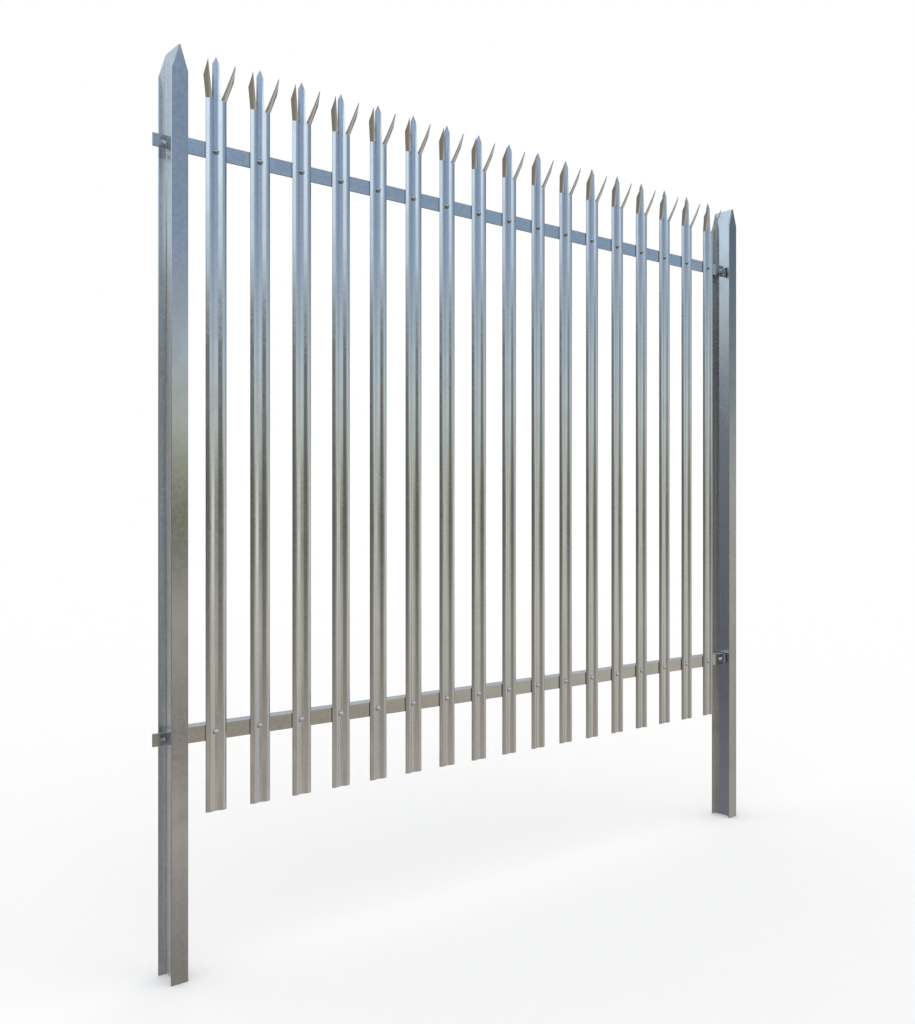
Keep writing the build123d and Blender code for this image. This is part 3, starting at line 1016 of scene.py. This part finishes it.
def turn_off_corners(shape, end, way):
    """Cuts the corners of a hexagon off with slanting planes, at the end that looks this way along Y."""
    rim = hexagon / 2 * rim_share
    for i in range(corner_cuts):
        angle = 2 * pi * i / corner_cuts
        around = Vector((cos(angle), 0, sin(angle)))
        normal = around * sin(corner_fall) + Vector((0, way * cos(corner_fall), 0))
        place = around * rim + Vector((0, end, 0))
        everything = shape.verts[:] + shape.edges[:] + shape.faces[:]
        plane = {"plane_co": place, "plane_no": normal, "clear_outer": True}
        cut = bmesh.ops.bisect_plane(shape, geom=everything, **plane)
        rim_edges = [e for e in cut["geom_cut"] if isinstance(e, bmesh.types.BMEdge)]
        if len(rim_edges) > 2:
            bmesh.ops.contextual_create(shape, geom=rim_edges)


def hexagon_piece(name, low, high, ends):
    """A hexagon between two places along Y, with its corners turned off at these ends."""
    shape = bmesh.new()
    corner = hexagon / sqrt(3)
    ring = [(corner * cos(i * pi / 3), corner * sin(i * pi / 3)) for i in range(6)]
    lower = [shape.verts.new((x, low, z)) for x, z in ring]
    upper = [shape.verts.new((x, high, z)) for x, z in ring]
    shape.faces.new(lower)
    shape.faces.new(upper)
    for i in range(6):
        shape.faces.new((lower[i], lower[i - 1], upper[i - 1], upper[i]))
    bmesh.ops.recalc_face_normals(shape, faces=shape.faces)
    for end, way in ends:
        turn_off_corners(shape, end, way)
    print("hexagon:", name, len(shape.faces), "faces")
    return new_piece(name, new_mesh(name, shape))


def joined(name, *pieces):
    """One object of this name, made of several pieces."""
    shape = bmesh.new()
    for piece in pieces:
        shape.from_mesh(piece.data)
        bpy.data.objects.remove(piece)
    return new_piece(name, new_mesh(name, shape))


print("hexagon:", round(hexagon / mm), "mm across its flats")

# %% [markdown]
# A rail bolt is three pieces in one: the hexagon head, a round collar under it, and the threaded shank. One turned
# profile could give the last two, but not the head, so the pieces are made apart and joined.

# %% Rail bolt, washer and nut
plate_back = 2 * mm
shank = 6 * mm
shank_thread = 1.75 * mm
shank_overhang = 3 * mm
shank_chamfer = 1 * mm
head_height = 7.5 * mm
nut_height = 10 * mm
collar_half = 8.8 * mm
collar_height = 0.5 * mm
collar_overlap = 0.1 * mm
washer_thickness = 2.5 * mm
washer_half = 12 * mm
washer_bore = 6.75 * mm
nut_seat = plate_back + washer_thickness
nut_end = nut_seat + nut_height
shank_end = nut_end + shank_overhang
head_low = back - head_height
shank_profile = [(0, back), (shank, back)]
shank_profile += thread(shank, plate_back, shank_end - shank_chamfer, shank_thread)
shank_profile += [(4.9 * mm, shank_end), (0, shank_end)]
collar_low = back - collar_height
collar_profile = [(0, collar_low), (collar_half, collar_low), (collar_half, back), (0, back)]
washer_profile = [
    (washer_bore, plate_back),
    (11.8 * mm, plate_back),
    (washer_half, plate_back + 0.3 * mm),
    (washer_half, nut_seat - 0.4 * mm),
    (11.6 * mm, nut_seat),
    (washer_bore, nut_seat),
    (washer_bore, plate_back),
]
rail_bolt = joined(
    "rail_bolt_template",
    hexagon_piece("bolt_head", head_low, collar_low + collar_overlap, [(head_low, -1)]),
    turned("bolt_collar", collar_profile),
    turned("bolt_shank", shank_profile),
)
rail_washer = turned("rail_washer_template", washer_profile)
rail_nut = hexagon_piece("rail_nut_template", nut_seat, nut_end, [(nut_end, 1), (nut_seat, -1)])

# %% [markdown]
# There are four of each, two on a rail, so each kind is two rows of two, joined into one piece. A spanner leaves a
# bolt a little off the square and a nut anywhere, which is what the turn is for. The washers of the frame say how
# far apart and how high the bolts are.

# %% Rail fasteners in place
bolt_turn = 0.12
nut_turn = 0.5
first_seed = 5
# The rail bolts have a much lighter tint than the other fasteners, a painted highlight.
lit_rail_bolt_zinc = zinc("lit rail bolt zinc", (0.9, 0.92, 0.95), 0.16, bolt_coat)
washer_low, washer_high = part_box("rail_washers")
bolt_span = washer_high.x - washer_low.x - 2 * washer_half
bolt_heights = (washer_high.z - washer_half, washer_low.z + washer_half)
rail_fasteners = (
    ("rail_bolts", rail_bolt, bolt_turn, lit_rail_bolt_zinc),
    ("rail_washers", rail_washer, 0.0, fastener_zinc),
    ("rail_nuts", rail_nut, nut_turn, fastener_zinc),
)
for node, template, turn, finish in rail_fasteners:
    both = []
    for i, height in enumerate(bolt_heights):
        common = {"Count": 2, "Pitch": bolt_span, "Height": height, "Finish": finish}
        both.append(row(f"{node}_{i}", template, Turn=turn, Seed=first_seed + i, **common))
    group = joined(node.replace("rail", "fishplate"), *both)
    group.data.materials.append(finish)
    join_part(group, "fastener_steel", node)
for template in (pale_bolt, cone_nut, rail_bolt, rail_washer, rail_nut):
    bpy.data.objects.remove(template)
print("rail fasteners:", round(bolt_span, 3), "m apart")
